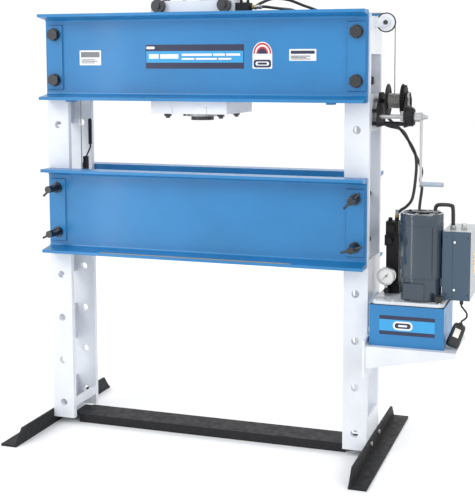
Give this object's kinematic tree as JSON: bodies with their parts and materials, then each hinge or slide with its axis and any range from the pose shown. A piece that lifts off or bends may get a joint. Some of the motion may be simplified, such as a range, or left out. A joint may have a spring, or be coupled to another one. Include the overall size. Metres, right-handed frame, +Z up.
{
  "type": "hydraulic shop press",
  "caption": "Hydraulic H-frame shop press with a rolling cylinder carriage, a pinned bed, a rope winch for the bed and an electric pump on a side shelf.",
  "frame": {"origin": "on the floor, under the middle of the whole outline, pump included", "axes": "+X to the press's right side, where the pump and the winch are; +Y from the front to the back; +Z up"},
  "size_m": [2.002, 0.914, 1.974],
  "materials": {
    "blue_paint": "gloss enamel",
    "white_paint": "gloss enamel",
    "black_paint": "satin enamel",
    "slate_paint": "hammered enamel",
    "bright_steel": "ground",
    "dark_steel": "oil-blacked",
    "wire_rope": "stranded",
    "barrel_paint": "enamel",
    "hose_rubber": "matt",
    "grip_plastic": "moulded",
    "black_plastic": "moulded",
    "pale_plastic": "moulded",
    "gauge_case": "polished"
  },
  "bodies": {
    "press": {"crown_front_channel": "blue_paint", "crown_rear_channel": "blue_paint", "doubler_pads": "blue_paint", "crown_bolts": "dark_steel", "left_front_post": "white_paint", "left_rear_post": "white_paint", "right_front_post": "white_paint", "right_rear_post": "white_paint", "left_battens": "white_paint", "right_battens": "white_paint", "left_foot": "black_paint", "right_foot": "black_paint", "base_bolts": "bright_steel", "floor_channel": "black_paint", "bed_front_channel": "blue_paint", "bed_rear_channel": "blue_paint", "bed_spacers": "blue_paint", "winch_frame": "black_paint", "brake_cover": "black_paint", "lifting_rope": "wire_rope", "lever_block": "black_paint", "pump_shelf": "white_paint", "reservoir": "blue_paint", "reservoir_lid": "white_paint", "motor": "slate_paint", "valve_block": "black_paint", "pressure_gauge": "gauge_case", "control_box": "slate_paint", "pendant": "black_plastic", "pendant_cord": "hose_rubber", "pressure_hose": "hose_rubber", "return_hose": "hose_rubber"},
    "carriage": {"carriage_frame": "white_paint", "carriage_fasteners": "dark_steel", "cylinder_mount": "white_paint", "cylinder_barrel": "barrel_paint", "gland_nut": "dark_steel", "port_block": "black_paint"},
    "ram_body": {"ram": "bright_steel", "ram_saddle": "dark_steel"},
    "roller_front_left": {"front_left_roller": "dark_steel"},
    "roller_front_right": {"front_right_roller": "dark_steel"},
    "roller_rear_left": {"rear_left_roller": "dark_steel"},
    "roller_rear_right": {"rear_right_roller": "dark_steel"},
    "pin_left_upper": {"left_upper_pin": "dark_steel"},
    "pin_left_lower": {"left_lower_pin": "dark_steel"},
    "pin_right_upper": {"right_upper_pin": "dark_steel"},
    "pin_right_lower": {"right_lower_pin": "dark_steel"},
    "drum": {"winch_drum": "black_paint", "drum_rope": "wire_rope"},
    "crank": {"winch_pinion": "bright_steel", "crank_arm": "bright_steel"},
    "grip": {"crank_grip": "grip_plastic"},
    "pulley_outer": {"outer_pulley": "dark_steel"},
    "pulley_inner": {"inner_pulley": "dark_steel"},
    "pawl_body": {"pawl": "bright_steel"},
    "lever": {"rope_lever": "black_paint"},
    "needle": {"gauge_needle": "black_plastic"},
    "cap": {"breather_cap": "black_plastic"},
    "rocker": {"pendant_switch": "pale_plastic"}
  },
  "joints": [
    {"name": "carriage_slide", "type": "slide", "parent": "press", "child": "carriage", "axis": [1, 0, 0], "range_m": [-0.368, 0.444], "deforming": ["pressure_hose", "return_hose"]},
    {"name": "ram_slide", "type": "slide", "parent": "carriage", "child": "ram_body", "axis": [0, 0, -1], "range_m": [0, 0.333]},
    {"name": "front_left_roll", "type": "hinge", "parent": "carriage", "child": "roller_front_left", "pos_m": [-0.365, -0.129, 1.9352], "axis": [0, 1, 0], "continuous": true},
    {"name": "front_right_roll", "type": "hinge", "parent": "carriage", "child": "roller_front_right", "pos_m": [-0.059, -0.129, 1.9352], "axis": [0, 1, 0], "continuous": true},
    {"name": "rear_left_roll", "type": "hinge", "parent": "carriage", "child": "roller_rear_left", "pos_m": [-0.365, 0.129, 1.9352], "axis": [0, 1, 0], "continuous": true},
    {"name": "rear_right_roll", "type": "hinge", "parent": "carriage", "child": "roller_rear_right", "pos_m": [-0.059, 0.129, 1.9352], "axis": [0, 1, 0], "continuous": true},
    {"name": "left_upper_pin_pull", "type": "slide", "parent": "press", "child": "pin_left_upper", "axis": [0, -1, 0], "range_m": [0, 0.32]},
    {"name": "left_lower_pin_pull", "type": "slide", "parent": "press", "child": "pin_left_lower", "axis": [0, -1, 0], "range_m": [0, 0.32]},
    {"name": "right_upper_pin_pull", "type": "slide", "parent": "press", "child": "pin_right_upper", "axis": [0, -1, 0], "range_m": [0, 0.32]},
    {"name": "right_lower_pin_pull", "type": "slide", "parent": "press", "child": "pin_right_lower", "axis": [0, -1, 0], "range_m": [0, 0.32]},
    {"name": "drum_turn", "type": "hinge", "parent": "press", "child": "drum", "pos_m": [0.66, 0.01, 1.529], "axis": [1, 0, 0], "continuous": true},
    {"name": "crank_turn", "type": "hinge", "parent": "press", "child": "crank", "pos_m": [0.78, -0.04399, 1.46465], "axis": [1, 0, 0], "continuous": true},
    {"name": "grip_turn", "type": "hinge", "parent": "crank", "child": "grip", "pos_m": [0.828, -0.04399, 1.18465], "axis": [1, 0, 0], "continuous": true},
    {"name": "outer_pulley_turn", "type": "hinge", "parent": "press", "child": "pulley_outer", "pos_m": [0.624, -0.025, 1.856], "axis": [0, 1, 0], "continuous": true},
    {"name": "inner_pulley_turn", "type": "hinge", "parent": "press", "child": "pulley_inner", "pos_m": [0.497, -0.025, 1.856], "axis": [0, 1, 0], "continuous": true},
    {"name": "pawl_lift", "type": "hinge", "parent": "press", "child": "pawl_body", "pos_m": [0.7213, -0.02199, 1.555], "axis": [-1, 0, 0], "range_deg": [0, 25]},
    {"name": "rope_lever_swing", "type": "hinge", "parent": "press", "child": "lever", "pos_m": [-0.804, 0.01, 1.2449], "axis": [1, 0, 0], "range_deg": [-25, 16]},
    {"name": "needle_turn", "type": "hinge", "parent": "press", "child": "needle", "pos_m": [0.644, -0.072, 0.791], "axis": [0, 1, 0], "range_deg": [0, 270]},
    {"name": "cap_turn", "type": "hinge", "parent": "press", "child": "cap", "pos_m": [0.88, -0.146, 0.72], "axis": [0, 0, 1], "range_deg": [0, 90]},
    {"name": "rocker_tilt", "type": "hinge", "parent": "press", "child": "rocker", "pos_m": [0.95779, -0.159, 0.59276], "axis": [0.9397, 0, -0.342], "range_deg": [-8, 8], "stiffness_Nm_per_rad": 0.05}
  ],
  "couplings": [
    {"joint": "front_left_roll", "follows": "carriage_slide", "rad_per_m": 33.333},
    {"joint": "front_right_roll", "follows": "carriage_slide", "rad_per_m": 33.333},
    {"joint": "rear_left_roll", "follows": "carriage_slide", "rad_per_m": 33.333},
    {"joint": "rear_right_roll", "follows": "carriage_slide", "rad_per_m": 33.333},
    {"joint": "crank_turn", "follows": "drum_turn", "ratio": -3.2},
    {"joint": "outer_pulley_turn", "follows": "drum_turn", "ratio": 0.92105},
    {"joint": "inner_pulley_turn", "follows": "drum_turn", "ratio": 0.92105}
  ]
}
